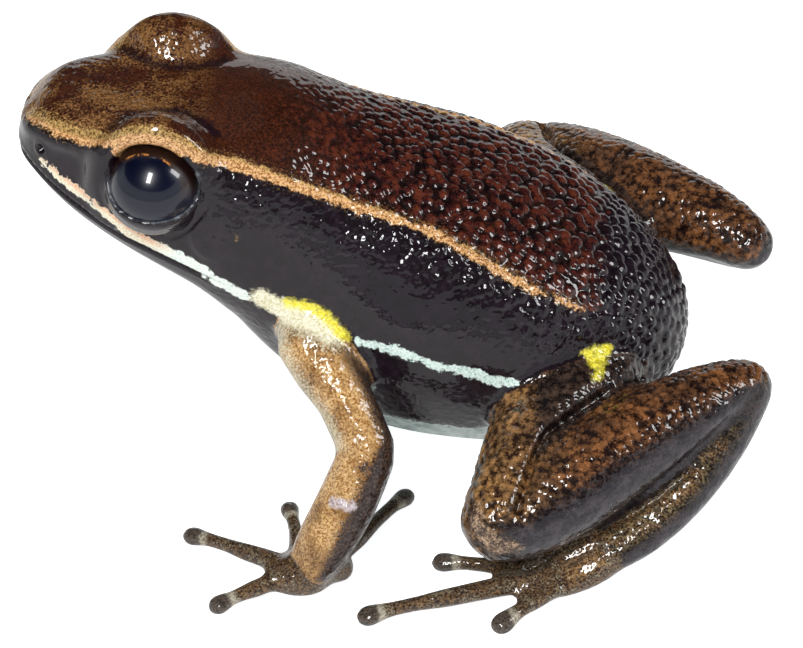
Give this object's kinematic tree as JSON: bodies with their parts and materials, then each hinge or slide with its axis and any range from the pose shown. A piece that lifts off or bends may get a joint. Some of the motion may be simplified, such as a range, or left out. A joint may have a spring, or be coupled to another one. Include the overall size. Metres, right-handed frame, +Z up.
{
  "type": "allobates frog",
  "caption": "Small ground frog at life size, sitting still on its hands and feet with the head raised, the body parted into named solids that meet face to face.",
  "frame": {"origin": "floor under the centre of the frog's bounding box", "axes": "+Z up, +X from the snout towards the rump, +Y towards the frog's right side"},
  "size_m": [0.0297, 0.0276, 0.0162],
  "materials": {
    "back_skin": "moist granular skin, bronze brown",
    "arm_skin": "moist skin, copper tan",
    "foot_skin": "moist skin, dark grey brown",
    "eye": "wet black eye"
  },
  "bodies": {
    "root": {"head": "back_skin", "torso": "back_skin", "eye_left": "eye", "upper_arm_left": "arm_skin", "forearm_left": "arm_skin", "palm_left": "foot_skin", "finger_1_left": "foot_skin", "finger_2_left": "foot_skin", "finger_3_left": "foot_skin", "finger_4_left": "foot_skin", "thigh_left": "back_skin", "shank_left": "back_skin", "tarsus_left": "foot_skin", "sole_left": "foot_skin", "toe_1_left": "foot_skin", "toe_2_left": "foot_skin", "toe_3_left": "foot_skin", "toe_4_left": "foot_skin", "toe_5_left": "foot_skin", "eye_right": "eye", "upper_arm_right": "arm_skin", "forearm_right": "arm_skin", "palm_right": "foot_skin", "finger_1_right": "foot_skin", "finger_2_right": "foot_skin", "finger_3_right": "foot_skin", "finger_4_right": "foot_skin", "thigh_right": "back_skin", "shank_right": "back_skin", "tarsus_right": "foot_skin", "sole_right": "foot_skin", "toe_1_right": "foot_skin", "toe_2_right": "foot_skin", "toe_3_right": "foot_skin", "toe_4_right": "foot_skin", "toe_5_right": "foot_skin"}
  },
  "joints": []
}
